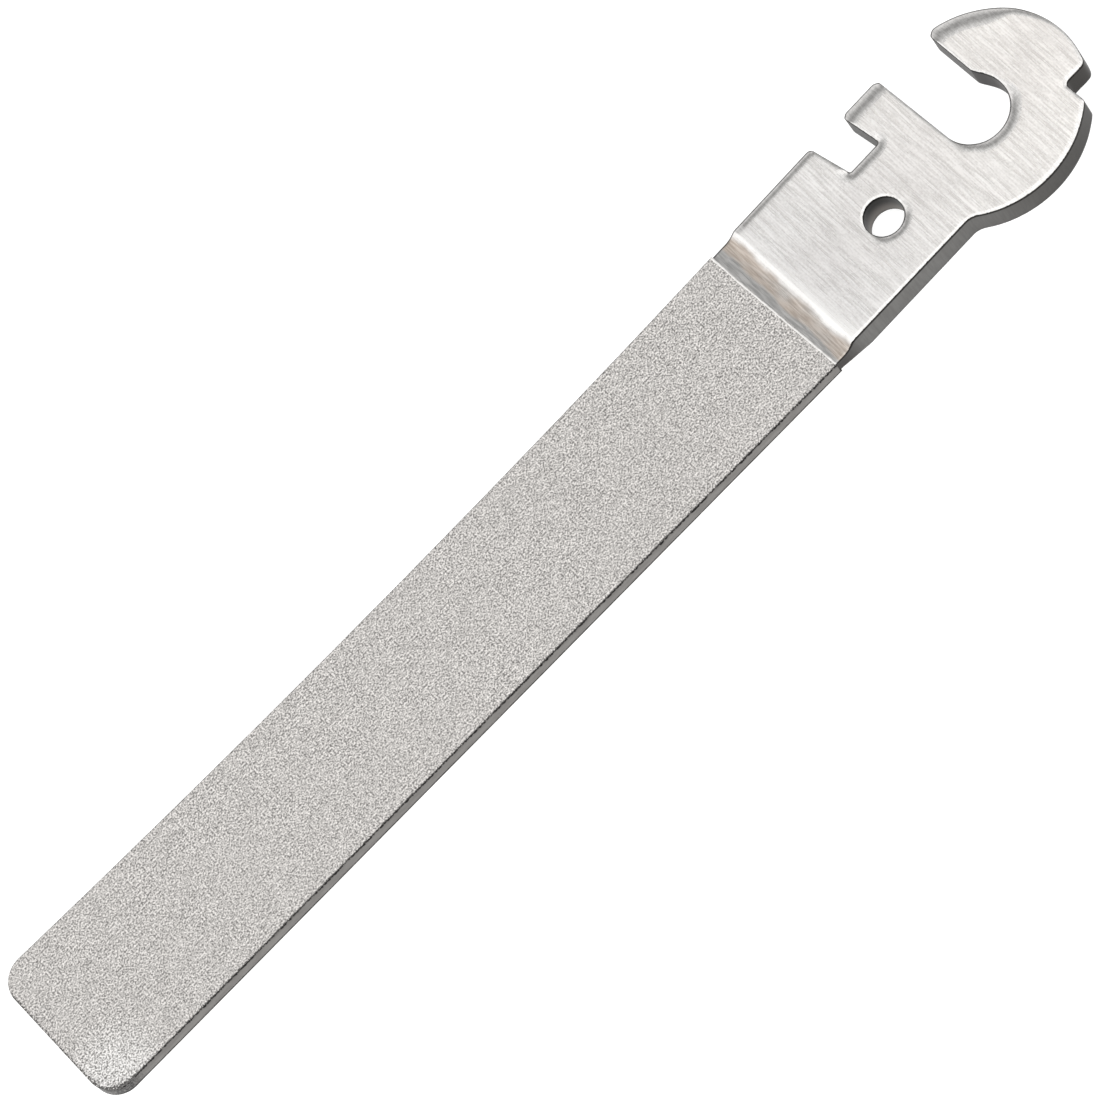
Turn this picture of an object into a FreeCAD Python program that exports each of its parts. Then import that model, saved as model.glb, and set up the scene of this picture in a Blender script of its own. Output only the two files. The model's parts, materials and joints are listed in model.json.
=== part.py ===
import FreeCAD, Part
import os
from math import acos, asin, cos, degrees, radians, sin, sqrt, tan

# A flat diamond file for a folding pliers tool. One thick steel blank carries a
# thinner, coated filing body at one end and a hooked tang at the other, which slips
# onto the pivot post of the folding tool.
#
# Lengths are in millimetres. The file lies flat: the body runs along X with its tip
# at the low end and the hook at the high end, Y goes across it towards the side that
# the hook opens to, and Z is up through the thickness. The outline is drawn from the
# corner of the coated tip, and the finished pieces are moved so that the origin is
# the middle of the bottom of the whole file.

# ---- driving dimensions -------------------------------------------------------

blank_width = 13.0           # the steel, the same on the body and on the tang
tang_thickness = 2.4
core_thickness = 1.2         # the steel under the coating
body_length = 73.3           # coated tip to the foot of the ramp
back_hollow = 0.6            # how far the body's back edge is ground in, at its middle

coat_thickness = 0.1         # diamond grit in nickel, on each face of the body
plating_thickness = 0.1      # plain nickel round the edge of the body
bare_strip = 0.9             # uncoated steel between the coating and the ramp
coat_slant = 0.5             # the masked line is this much off square, over the width
tip_corner_radius = 2.0      # of the steel; the plating adds its own thickness

ramp_foot_radius = 1.5       # hollow curve from the body up to the ramp
ramp_angle = 38.0
ramp_top_radius = 0.6
back_ramp_angle = 13.0       # the other face climbs gently, from just past the coating
back_ramp_gap = 0.05

tang_cant = 1.4              # degrees between the body's straight edge and the tang's
pivot_from_ramp = 19.2       # along the tang, from the foot of the ramp
pivot_from_edge = 5.8        # across the tang, from its straight edge
hook_bore = 5.4
throat_flare = 1.2           # degrees that the finger's inner wall leans away
throat_pinch = 0.7           # how far the beak stands in over the bore
bore_run_out = 23.0          # degrees past the pivot where the bore turns straight, to the beak

hook_radius = 7.7            # the hook's outer edge
hook_centre = (0.65, -0.55)  # from the pivot, along and across the tang
lobe_radius = 8.45           # the round heel below the pivot
lobe_centre = (-0.1, 0.3)
lobe_blend = 1.5             # where the heel runs out of the tang's straight edge

stop_shelf = 4.0             # catch step in the outer edge: how far below the pivot
stop_wall = 5.5              # and how far past it along the tang
stop_inner_radius = 0.4
stop_outer_radius = 0.6
stop_heel_radius = 0.4

slot_floor = 3.0             # square notch beside the finger: width of its floor
slot_depth = 3.55
tang_swell = 0.12            # how far the tang's back edge leans out past the body's line
finger_width = 3.4           # between the notch's floor and the bore
slot_outer_lean = 9.0        # degrees, wall on the body's side
slot_finger_lean = 6.0       # degrees, wall on the finger's side
slot_inner_radius = 0.25
slot_mouth_radius = 0.4

finger_corner_radius = 0.5
beak_corner_radius = 0.6
lip_corner_radius = 0.4

lock_hole = 3.0
lock_hole_from_pivot = 9.9   # back along the tang
lock_hole_offset = 0.75      # towards the tang's straight edge

front_roll = 0.3             # rounded edge on the punched side, tang and ramp
back_break = 0.05            # broken edge on the other side
coat_edge = 0.05             # broken edge of each grit coat

# ---- sizes that follow --------------------------------------------------------

cant = radians(tang_cant)
bore_radius = hook_bore / 2
core_bottom = (tang_thickness - core_thickness) / 2
core_top = core_bottom + core_thickness
coat_line = body_length - bare_strip
over = 5.0                   # how far a cutting shape reaches past what it cuts


def tang(x, y):
    """Point of the tang, from its pivot, along and across the canted tang."""
    along = pivot_from_ramp + x
    across = pivot_from_edge + y
    return FreeCAD.Vector(body_length + along * cos(cant) - across * sin(cant),
                          plating_thickness + along * sin(cant) + across * cos(cant), 0)


def line(start, end):
    return Part.LineSegment(start, end).toShape()


def arc(start, middle, end):
    return Part.Arc(start, middle, end).toShape()


def tang_arc(centre, radius, start, end):
    """Arc of the tang's outline, between two angles in degrees from the tang's axis."""
    def at(angle):
        turn = radians(angle)
        return tang(centre[0] + radius * cos(turn), centre[1] + radius * sin(turn))
    return arc(at(start), at((start + end) / 2), at(end))


def angle_at_x(centre, radius, x):
    """Angle, above the axis, where a circle reaches x."""
    return degrees(acos((x - centre[0]) / radius))


def angle_at_y(centre, radius, y):
    """Angle, right of the centre, where a circle reaches y."""
    return degrees(asin((y - centre[1]) / radius))


def body_edges(inset, end_of_straight, end_of_back):
    """Body outline from the end of its back edge, round the tip, to its straight edge."""
    radius = tip_corner_radius + plating_thickness - inset
    back = blank_width + 2 * plating_thickness - inset
    near = inset + radius
    slack = radius * (1 - sqrt(0.5))
    tip_back = FreeCAD.Vector(near, back, 0)
    middle = FreeCAD.Vector((near + end_of_back.x) / 2, back - back_hollow, 0)
    return [arc(end_of_back, middle, tip_back),
            arc(tip_back, FreeCAD.Vector(inset + slack, back - slack, 0),
                FreeCAD.Vector(inset, back - radius, 0)),
            line(FreeCAD.Vector(inset, back - radius, 0), FreeCAD.Vector(inset, near, 0)),
            arc(FreeCAD.Vector(inset, near, 0),
                FreeCAD.Vector(inset + slack, inset + slack, 0),
                FreeCAD.Vector(near, inset, 0)),
            line(FreeCAD.Vector(near, inset, 0), end_of_straight)]


def prism(edges, bottom, top):
    face = Part.Face(Part.Wire(edges))
    solid = face.extrude(FreeCAD.Vector(0, 0, top - bottom))
    solid.translate(FreeCAD.Vector(0, 0, bottom))
    return solid


def upright_edge_at(solid, point):
    """The vertical edge of a prism that stands on a point of its outline."""
    def gap(edge):
        ends = [vertex.Point for vertex in edge.Vertexes]
        return max(sqrt((end.x - point.x) ** 2 + (end.y - point.y) ** 2) for end in ends)
    return min(solid.Edges, key=gap)


def outline_and_corners():
    """Sharp outline of the blank, and the corners to round, each with its radius."""
    straight = -pivot_from_edge
    back = blank_width - pivot_from_edge

    heel_start = 180 - degrees(asin((straight - lobe_centre[1]) / lobe_radius))
    heel_end = 360 - angle_at_x(lobe_centre, lobe_radius, stop_wall)
    hook_start = angle_at_y(hook_centre, hook_radius, -stop_shelf)

    flare = radians(throat_flare)
    beak = bore_radius - throat_pinch
    run_out = radians(bore_run_out)
    run_length = (bore_radius * cos(run_out) - beak) / sin(run_out)
    lip_height = bore_radius * sin(run_out) + run_length * cos(run_out)
    hook_end = angle_at_x(hook_centre, hook_radius, beak)
    bore_end = -180 - throat_flare

    floor = back - slot_depth
    top = back + tang_swell
    finger_inner = -bore_radius / cos(flare) - back * tan(flare)
    slot_near = -bore_radius - finger_width
    finger_outer = slot_near - slot_depth * tan(radians(slot_finger_lean))
    slot_far = slot_near - slot_floor
    slot_mouth = slot_far - slot_depth * tan(radians(slot_outer_lean))

    def on(centre, radius, angle):
        turn = radians(angle)
        return tang(centre[0] + radius * cos(turn), centre[1] + radius * sin(turn))

    ramp_straight = tang(-pivot_from_ramp, straight)
    ramp_back = tang(-pivot_from_ramp, back)
    heel_in = on(lobe_centre, lobe_radius, heel_start)
    heel_out = on(lobe_centre, lobe_radius, heel_end)
    stop_corner = tang(stop_wall, -stop_shelf)
    hook_in = on(hook_centre, hook_radius, hook_start)
    hook_out = on(hook_centre, hook_radius, hook_end)
    lip = tang(beak, lip_height)
    bore_in = on((0, 0), bore_radius, bore_run_out)
    bore_out = on((0, 0), bore_radius, bore_end)
    finger_in = tang(finger_inner, top)
    finger_out = tang(finger_outer, top)
    slot_near_floor = tang(slot_near, floor)
    slot_far_floor = tang(slot_far, floor)
    slot_edge = tang(slot_mouth, top)

    edges = body_edges(plating_thickness, ramp_straight, ramp_back)
    edges += [line(ramp_straight, heel_in),
              tang_arc(lobe_centre, lobe_radius, heel_start, heel_end),
              line(heel_out, stop_corner),
              line(stop_corner, hook_in),
              tang_arc(hook_centre, hook_radius, hook_start, hook_end),
              line(hook_out, lip),
              line(lip, bore_in),
              tang_arc((0, 0), bore_radius, bore_run_out, bore_end),
              line(bore_out, finger_in),
              line(finger_in, finger_out),
              line(finger_out, slot_near_floor),
              line(slot_near_floor, slot_far_floor),
              line(slot_far_floor, slot_edge),
              line(slot_edge, ramp_back)]
    corners = [(heel_in, lobe_blend),
               (heel_out, stop_heel_radius),
               (stop_corner, stop_inner_radius),
               (hook_in, stop_outer_radius),
               (hook_out, beak_corner_radius),
               (lip, lip_corner_radius),
               (finger_in, finger_corner_radius),
               (finger_out, finger_corner_radius),
               (slot_near_floor, slot_inner_radius),
               (slot_far_floor, slot_inner_radius),
               (slot_edge, slot_mouth_radius)]
    return edges, corners


def ramp_edges(foot_x, angle, rise):
    """One side of the thickness, seen along Y: from the body up the ramp to the tang."""
    slope = radians(angle)
    half = slope / 2
    curves = (ramp_foot_radius + ramp_top_radius) * (1 - cos(slope))
    share = min(1, 0.9 * rise / curves)          # a low ramp has tighter curves
    foot_radius = ramp_foot_radius * share
    top_radius = ramp_top_radius * share
    foot = FreeCAD.Vector(foot_x, 0, 0)
    curve_end = FreeCAD.Vector(foot_x + foot_radius * sin(slope), 0,
                               foot_radius * (1 - cos(slope)))
    curve_middle = FreeCAD.Vector(foot_x + foot_radius * sin(half), 0,
                                  foot_radius * (1 - cos(half)))
    crest = curve_end.x + (rise - curve_end.z) / tan(slope)
    setback = top_radius * tan(half)
    round_start = FreeCAD.Vector(crest - setback * cos(slope), 0, rise - setback * sin(slope))
    round_end = FreeCAD.Vector(crest + setback, 0, rise)
    round_middle = FreeCAD.Vector(round_end.x - top_radius * sin(half), 0,
                                  rise - top_radius * (1 - cos(half)))
    return [arc(foot, curve_middle, curve_end),
            line(curve_end, round_start),
            arc(round_start, round_middle, round_end)], round_end


def thickness_cut(foot_x, angle):
    """What is ground off the upper side of the blank to leave the thinner body."""
    rise = (tang_thickness - core_thickness) / 2
    reach = blank_width + 2 * plating_thickness
    ramp, crest = ramp_edges(foot_x, angle, rise)
    low_tip = FreeCAD.Vector(-over, 0, 0)
    high_tip = FreeCAD.Vector(-over, 0, rise + over)
    high_crest = FreeCAD.Vector(crest.x, 0, rise + over)
    wire = Part.Wire([line(low_tip, FreeCAD.Vector(foot_x, 0, 0))] + ramp
                     + [line(crest, high_crest), line(high_crest, high_tip),
                        line(high_tip, low_tip)])
    cut = Part.Face(wire).extrude(FreeCAD.Vector(0, reach + 2 * over, 0))
    cut.translate(FreeCAD.Vector(0, -over, core_top))
    return cut


def coated_part(solid, coated):
    """The side of a solid that the coating covers, or the side that it leaves bare."""
    width = blank_width + 2 * plating_thickness
    slope = coat_slant / width
    middle = width / 2

    def on_line(y):
        return FreeCAD.Vector(coat_line - slope * (y - middle), y, -over)
    near = on_line(-over)
    far = on_line(width + over)
    end = -over if coated else 2 * body_length
    mask = prism([line(near, far), line(far, FreeCAD.Vector(end, far.y, -over)),
                  line(FreeCAD.Vector(end, far.y, -over), FreeCAD.Vector(end, near.y, -over)),
                  line(FreeCAD.Vector(end, near.y, -over), near)],
                 0, tang_thickness + 2 * over)
    return solid.common(mask)


def rim_edges(solid, on_top):
    """Edges where the upper or the lower face meets the walls, clear of the coating."""
    def is_wall(face):
        u, v = face.Surface.parameter(face.CenterOfMass)
        return abs(face.normalAt(u, v).z) < 0.01
    middle = tang_thickness / 2
    rims = []
    for edge in solid.Edges:
        faces = solid.ancestorsOfType(edge, Part.Face)
        walls = [is_wall(face) for face in faces]
        above = edge.CenterOfMass.z > middle
        at_mask = edge.BoundBox.XMax < coat_line + coat_slant
        if sorted(walls) == [False, True] and above == on_top and not at_mask:
            rims.append(edge)
    return rims


def make_blank():
    edges, corners = outline_and_corners()
    blank = prism(edges, 0, tang_thickness)
    for point, radius in corners:
        blank = blank.makeFillet(radius, [upright_edge_at(blank, point)])
    hole = Part.makeCylinder(lock_hole / 2, tang_thickness + 2 * over)
    hole.translate(tang(-lock_hole_from_pivot, -lock_hole_offset) - FreeCAD.Vector(0, 0, over))
    blank = blank.cut(hole)

    upper = thickness_cut(body_length, ramp_angle)
    lower = thickness_cut(coat_line + coat_slant / 2 + back_ramp_gap, back_ramp_angle)
    lower = lower.mirror(FreeCAD.Vector(0, 0, tang_thickness / 2), FreeCAD.Vector(0, 0, 1))
    blank = blank.cut(upper).cut(lower)

    core = coated_part(blank, True)
    bare = coated_part(blank, False)
    bare = bare.makeFillet(front_roll, rim_edges(bare, True))
    bare = bare.makeFillet(back_break, rim_edges(bare, False))
    return core.fuse(bare).removeSplitter()


def body_prism(inset, bottom, top):
    """The coated length of the body, full width less an inset all round."""
    back = blank_width + 2 * plating_thickness - inset
    straight_end = FreeCAD.Vector(body_length, inset, 0)
    back_end = tang(-pivot_from_ramp, blank_width - pivot_from_edge)
    back_end = FreeCAD.Vector(back_end.x, back_end.y + plating_thickness - inset, 0)
    edges = body_edges(inset, straight_end, back_end) + [line(straight_end, back_end)]
    return coated_part(prism(edges, bottom, top), True)


def make_edge_plating():
    outside = body_prism(0, core_bottom, core_top)
    inside = body_prism(plating_thickness, core_bottom, core_top)
    return outside.cut(inside)


def make_grit_coat(bottom, on_top):
    coat = body_prism(0, bottom, bottom + coat_thickness)
    height = bottom + coat_thickness if on_top else bottom
    outer = [edge for edge in coat.Edges
             if abs(edge.BoundBox.ZMin - height) < 1e-6 and abs(edge.BoundBox.ZMax - height) < 1e-6]
    return coat.makeFillet(coat_edge, outer)


def main():
    os.makedirs("parts", exist_ok=True)
    pieces = {"blank": make_blank(),
              "edge_plating": make_edge_plating(),
              "front_grit": make_grit_coat(core_top, True),
              "back_grit": make_grit_coat(core_bottom - coat_thickness, False)}

    whole = Part.makeCompound(list(pieces.values())).optimalBoundingBox(False)
    to_origin = FreeCAD.Vector(-whole.Center.x, -whole.Center.y, -whole.ZMin)
    for name, solid in pieces.items():
        solid = Part.Solid(solid.Solids[0])
        solid.translate(to_origin)
        solid.exportStep("parts/" + name + ".step")
        box = solid.optimalBoundingBox(False)
        print(name, "valid", solid.isValid(), "volume", round(solid.Volume, 3),
              "x %.3f %.3f y %.3f %.3f z %.3f %.3f"
              % (box.XMin, box.XMax, box.YMin, box.YMax, box.ZMin, box.ZMax))
    for label, place in (("pivot", tang(0, 0)),
                         ("lock hole", tang(-lock_hole_from_pivot, -lock_hole_offset))):
        print(label, "x %.4f y %.4f" % (place.x + to_origin.x, place.y + to_origin.y))


main()
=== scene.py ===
import json
import math

import bmesh
import bpy
import numpy as np
from mathutils import Matrix, Vector
from mathutils.geometry import delaunay_2d_cdt
from mathutils.kdtree import KDTree


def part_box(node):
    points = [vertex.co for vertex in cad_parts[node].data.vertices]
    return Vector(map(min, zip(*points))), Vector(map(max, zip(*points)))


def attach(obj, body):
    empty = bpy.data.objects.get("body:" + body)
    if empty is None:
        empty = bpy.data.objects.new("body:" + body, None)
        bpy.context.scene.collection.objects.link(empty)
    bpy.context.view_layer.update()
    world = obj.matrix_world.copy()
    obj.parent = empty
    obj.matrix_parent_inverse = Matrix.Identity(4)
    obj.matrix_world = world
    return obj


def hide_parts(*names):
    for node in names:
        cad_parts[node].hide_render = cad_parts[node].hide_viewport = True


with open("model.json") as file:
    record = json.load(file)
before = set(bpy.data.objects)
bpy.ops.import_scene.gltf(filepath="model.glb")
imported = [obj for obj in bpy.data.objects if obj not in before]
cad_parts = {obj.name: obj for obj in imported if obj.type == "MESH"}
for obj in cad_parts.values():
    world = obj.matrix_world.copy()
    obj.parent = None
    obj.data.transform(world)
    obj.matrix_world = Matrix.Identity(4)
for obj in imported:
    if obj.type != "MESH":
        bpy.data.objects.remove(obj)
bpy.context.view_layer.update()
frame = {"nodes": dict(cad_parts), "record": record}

# The looks of a flat diamond file: the steel blank with its rolled edges, a grit coat on
# each face of the body, and the plain nickel round the body's edge. Lengths in this script
# are millimetres, on the frame's axes, and become metres when a mesh or a light is made.
# The straight edge is at the low end of Y, and the back edge, where the hook opens, is at
# the high end.

MM = 0.001
chance = np.random.default_rng(7)


def box(node):
    low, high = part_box(node)
    return np.array(low) / MM, np.array(high) / MM


def mount(name):
    """Place of one of the record's mounts."""
    for row in frame["record"]["mounts"]:
        if row["name"] == name:
            return np.array(row["pos_m"]) / MM


# ---- sizes ----------------------------------------------------------------------

BODY_LENGTH = 73.3           # coated tip to the foot of the ramp
RAMP_FOOT_RADIUS = 1.5
RAMP_ANGLE = math.radians(38.0)
RAMP_TOP_RADIUS = 0.6
BACK_RAMP_ANGLE = math.radians(13.0)
BACK_RAMP_FOOT = -0.6        # from the foot of the punched face's ramp
TANG_CANT = math.radians(1.4)

STEEL_LOW, STEEL_HIGH = box("blank")
BAND_LOW, BAND_HIGH = box("edge_plating")
GRIT_LOW, GRIT_HIGH = box("front_grit")
BACK_LOW, BACK_HIGH = box("back_grit")
MIDDLE = (STEEL_LOW[2] + STEEL_HIGH[2]) / 2
BODY_CUT = (GRIT_LOW[2] + GRIT_HIGH[2]) / 2 - 0.02    # level below the coat's broken edge
PIVOT = mount("pivot_hook")[:2]
LOCK_HOLE = mount("lock_hole")[:2]

TIP = GRIT_LOW[0]
RAMP_FOOT = TIP + BODY_LENGTH
RISE = STEEL_HIGH[2] - BAND_HIGH[2]


# ---- outlines read from the CAD ----------------------------------------------------

DOUBLED = 1e-7               # metres between two corners of the CAD mesh that are one
REJOINED = 2e-6              # and between two ends of a cut line
IN_LINE = 0.005              # sine of a bend that is only the CAD mesh's own
STRAIGHT_RUN = 1.3           # longer stretches of the outline are straight lines
STRAIGHT_WEIGHT = 1e6        # a straight line settles the direction at its ends
SHARP_CORNER = math.radians(35)
SIDE_STEP = 0.1              # between points of the body's outline
ON_MASKED_END = 0.9          # X of the way out, on the slanted line where the coat stops


def level_cut(node, height):
    """Closed loops of points where a level plane cuts a CAD node, the longest first."""
    cut = bmesh.new()
    cut.from_mesh(frame["nodes"][node].data)
    bmesh.ops.remove_doubles(cut, verts=cut.verts, dist=DOUBLED)
    everything = cut.verts[:] + cut.edges[:] + cut.faces[:]
    bmesh.ops.bisect_plane(cut, geom=everything, plane_co=(0, 0, height * MM),
                           plane_no=(0, 0, 1), clear_inner=True, clear_outer=True)
    bmesh.ops.remove_doubles(cut, verts=cut.verts, dist=REJOINED)
    loops = []
    left = set(cut.verts)
    while left:
        vertex = min(left, key=lambda v: (v.co.x, v.co.y))
        chain = []
        while vertex:
            left.discard(vertex)
            chain.append((vertex.co.x / MM, vertex.co.y / MM))
            neighbours = [edge.other_vert(vertex) for edge in vertex.link_edges]
            vertex = next((v for v in neighbours if v in left), None)
        loops.append(np.array(chain))
    cut.free()
    return sorted(loops, key=len, reverse=True)


def turned(loop, hole=False):
    """The loop without points in line, going round so that the material is on its left."""
    area = np.sum(loop[:, 0] * np.roll(loop[:, 1], -1) - np.roll(loop[:, 0], -1) * loop[:, 1])
    if (area < 0) != hole:
        loop = loop[::-1]
    onward = np.roll(loop, -1, 0) - loop
    onward /= np.linalg.norm(onward, axis=1)[:, None]
    before = np.roll(onward, 1, 0)
    bend = before[:, 0] * onward[:, 1] - before[:, 1] * onward[:, 0]
    return loop[np.abs(bend) > IN_LINE]


def smooth_rim(loop, step):
    """Points about a step apart on a smooth curve through the loop, and the way out at each."""
    chord = np.roll(loop, -1, 0) - loop
    length = np.linalg.norm(chord, axis=1)
    onward = chord / length[:, None]
    before = np.roll(onward, 1, 0)
    weight = np.where(length > STRAIGHT_RUN, STRAIGHT_WEIGHT, 1 / length)
    tangent = onward * weight[:, None] + np.roll(onward * weight[:, None], 1, 0)
    tangent /= np.linalg.norm(tangent, axis=1)[:, None]
    both_straight = (length > STRAIGHT_RUN) & (np.roll(length, 1) > STRAIGHT_RUN)
    corner = both_straight | (np.sum(onward * before, 1) < math.cos(SHARP_CORNER))
    leaving = np.where(corner[:, None], onward, tangent)
    coming = np.where(corner[:, None], before, tangent)
    points, ways = [], []
    for i in range(len(loop)):
        j = (i + 1) % len(loop)
        count = max(1, math.ceil(length[i] / step))
        t = (np.arange(count) / count)[:, None]
        start, end = leaving[i] * length[i], coming[j] * length[i]
        points.append(loop[i] * (2 * t**3 - 3 * t**2 + 1) + start * (t**3 - 2 * t**2 + t)
                      + loop[j] * (3 * t**2 - 2 * t**3) + end * (t**3 - t**2))
        ways.append(loop[i] * (6 * t**2 - 6 * t) + start * (3 * t**2 - 4 * t + 1)
                    + loop[j] * (6 * t - 6 * t**2) + end * (3 * t**2 - 2 * t))
    points, ways = np.concatenate(points), np.concatenate(ways)
    ways /= np.linalg.norm(ways, axis=1)[:, None]
    return points, np.stack([ways[:, 1], -ways[:, 0]], 1)


def nearest(points, rim):
    """Index of the nearest rim point, and how far off it is."""
    tree = KDTree(len(rim))
    for i, (x, y) in enumerate(rim):
        tree.insert((x, y, 0), i)
    tree.balance()
    found = [tree.find((x, y, 0)) for x, y in points]
    return np.array([row[1] for row in found]), np.array([row[2] for row in found])


def within(points, loops):
    """Which points lie in the material: a line from them along X crosses the loops an odd
    number of times."""
    crossings = np.zeros(len(points), int)
    for loop in loops:
        start = loop.astype(np.float32).astype(float)
        step = np.roll(start, -1, 0) - start
        rise = np.where(step[:, 1] == 0, 1, step[:, 1])
        for block in np.array_split(np.arange(len(points)), max(1, len(points) // 1000)):
            x, y = points[block, 0, None], points[block, 1, None]
            passes = (start[:, 1] > y) != (start[:, 1] + step[:, 1] > y)
            at = start[:, 0] + (y - start[:, 1]) * step[:, 0] / rise
            crossings[block] += (passes & (x < at)).sum(1)
    return crossings % 2 == 1


def smoothstep(value, low, high):
    share = np.clip((value - low) / (high - low), 0, 1)
    return share * share * (3 - 2 * share)


def along_tang(points):
    """Places measured from the pivot, along and across the canted tang."""
    away = points - PIVOT
    c, s = math.cos(TANG_CANT), math.sin(TANG_CANT)
    return np.stack([away[:, 0] * c + away[:, 1] * s, away[:, 1] * c - away[:, 0] * s], 1)


# ---- meshes ---------------------------------------------------------------------------

def make_piece(name, points, faces, materials, face_material=None, smooth=True):
    mesh = bpy.data.meshes.new(name)
    mesh.from_pydata((np.asarray(points) * MM).tolist(), [], faces)
    for material in materials:
        mesh.materials.append(material)
    if face_material is not None:
        mesh.polygons.foreach_set("material_index", np.asarray(face_material, np.int32))
    mesh.polygons.foreach_set("use_smooth", np.full(len(mesh.polygons), smooth))
    mesh.validate()
    mesh.update()
    piece = bpy.data.objects.new(name, mesh)
    bpy.context.scene.collection.objects.link(piece)
    return piece


def paint(piece, name, values):
    """Keeps a number at each point of a piece, for its material to read."""
    attribute = piece.data.attributes.new(name, "FLOAT", "POINT")
    attribute.data.foreach_set("value", np.asarray(values, np.float32))


# ---- the steel --------------------------------------------------------------------------

FACE, WALL, ROLL = 0, 1, 2   # the steel's materials

# How wide and how deep the punched edge has rolled over.
PLAIN_ROLL = (0.26, 0.12)
BACK_EDGE_ROLL = (0.84, 0.22)
BODY_ROLL = (0.16, 0.07)
BACK_BREAK = 0.05            # the other face's edge is only broken

# Where it has rolled over more than elsewhere: place from the pivot along and across the
# tang, how far the roll reaches along the edge, its width and depth, and the way that the
# rolled edge faces.
TO_BACK = (0.0, 1.0)
ROLLS = [
    ((-4.6, 7.2), 3.6, 1.60, 0.42, TO_BACK),            # end of the finger
    ((3.0, 6.6), 6.0, 1.75, 0.45, TO_BACK),             # end of the hook
    ((-7.9, 3.65), 2.4, 1.10, 0.28, TO_BACK),           # floor of the notch
    ((0.6, -2.3), 3.4, 1.12, 0.29, (-0.25, 0.97)),      # seat of the hook
    ((3.0, -7.6), 7.0, 0.40, 0.16, (0.3, -0.95)),       # round heel
]
FULL_REACH, NO_REACH = 0.5, 1.3                         # shares of a roll's reach
BACK_FACING = (-0.1, 0.75)   # Y of the way out, from a plain edge to a back edge
ROLL_FACING = (0.0, 0.85)    # how squarely an edge faces a roll's way, from none to all of it
BODY_END = (-0.2, 1.8)       # from the foot of the ramp: the body's edge turns into the tang's

EDGE_BREAK = 0.07            # the last of a rolled edge, where it turns into the wall
EDGE_SHARE = 0.15            # and its share of the roll's depth
EDGE_STEPS = (0.05, 0.2, 0.45, 0.75, 1.0)
ROLL_STEPS = (0.12, 0.25, 0.4, 0.55, 0.7, 0.85, 1.0)
WALL_STEPS = (0.12, 0.24, 0.6, 0.92)

RIM_STEP = 0.09              # between outline points of the steel
COVERED_END = -2.0           # from the foot of the ramp: the rim up to here is under the band
COVERED_EVERY = 6            # and keeps only one point in so many
GRID_STEP = 0.14             # of the plain part of a face
COARSE_EVERY = 5
RAMP_ROWS = (-0.8, 2.5)      # from the foot of the ramp: whole rows of the grid are kept
BARE_START = -1.5
RIM_MARGIN = 0.12            # the grid keeps this far from a rim point
TIP_MARGIN = 0.03            # and this far inside the rim
POINT_GAP = 0.02
RING_SHARE = 0.98            # a ring point this near to another part of the rim is left out
SUNK = 0.001                 # fallen this far, the face has the fine grid
RAMP_TOP = 2.0               # from the foot of the ramp: below this the rolled edge is ground too

STEEP = math.cos(math.radians(42))    # steeper faces are walls: the steepest part of a rolled edge takes the wall's dark material, as painted shade
BROKEN = 0.004               # the back face's broken edge takes the wall's material, dark with its painted shade at the foot
ROLLED = 0.006               # fallen this far, the face is no longer ground
BRINK = (0.03, 0.105)        # width of the painted shade line at the rim, and how much more at the back


def facing_back(out):
    """How far an edge that faces this way counts as a back edge, from 0 to 1."""
    return smoothstep(out[:, 1], *BACK_FACING)


def roll_sizes(rim, out):
    """Width and depth of the rolled edge at each rim point."""
    place = along_tang(rim)
    to_back = facing_back(out)
    width = PLAIN_ROLL[0] + (BACK_EDGE_ROLL[0] - PLAIN_ROLL[0]) * to_back
    depth = PLAIN_ROLL[1] + (BACK_EDGE_ROLL[1] - PLAIN_ROLL[1]) * to_back
    for centre, reach, wide, deep, facing in ROLLS:
        away = np.linalg.norm(place - np.array(centre), axis=1)
        share = 1 - smoothstep(away, FULL_REACH * reach, NO_REACH * reach)
        share = share * smoothstep(out @ np.array(facing), *ROLL_FACING)
        width = np.maximum(width, PLAIN_ROLL[0] + (wide - PLAIN_ROLL[0]) * share)
        depth = np.maximum(depth, PLAIN_ROLL[1] + (deep - PLAIN_ROLL[1]) * share)
    on_body = 1 - smoothstep(rim[:, 0], RAMP_FOOT + BODY_END[0], RAMP_FOOT + BODY_END[1])
    width = width + (BODY_ROLL[0] - width) * on_body
    depth = depth + (BODY_ROLL[1] - depth) * on_body
    return width, depth


def arc_height(radius, run):
    """Height of a circle over its middle, that far along from it."""
    return np.sqrt(np.clip(radius**2 - run**2, 0, None))


def face_rise(x, slope, foot):
    """How far a face of the tang stands out past the body's, along its ramp."""
    foot_end = RAMP_FOOT_RADIUS * math.sin(slope)
    foot_rise = RAMP_FOOT_RADIUS * (1 - math.cos(slope))
    crest = foot_end + (RISE - foot_rise) / math.tan(slope)
    setback = RAMP_TOP_RADIUS * math.tan(slope / 2)
    top_end = crest + setback
    run = x - foot
    hollow = RAMP_FOOT_RADIUS - arc_height(RAMP_FOOT_RADIUS, np.clip(run, 0, None))
    straight = foot_rise + (run - foot_end) * math.tan(slope)
    over = RISE - RAMP_TOP_RADIUS + arc_height(RAMP_TOP_RADIUS, run - top_end)
    rise = np.where(run < foot_end, hollow, straight)
    rise = np.where(run > crest - setback * math.cos(slope), over, rise)
    return np.where(run > top_end, RISE, np.where(run < 0, 0, rise))


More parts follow.
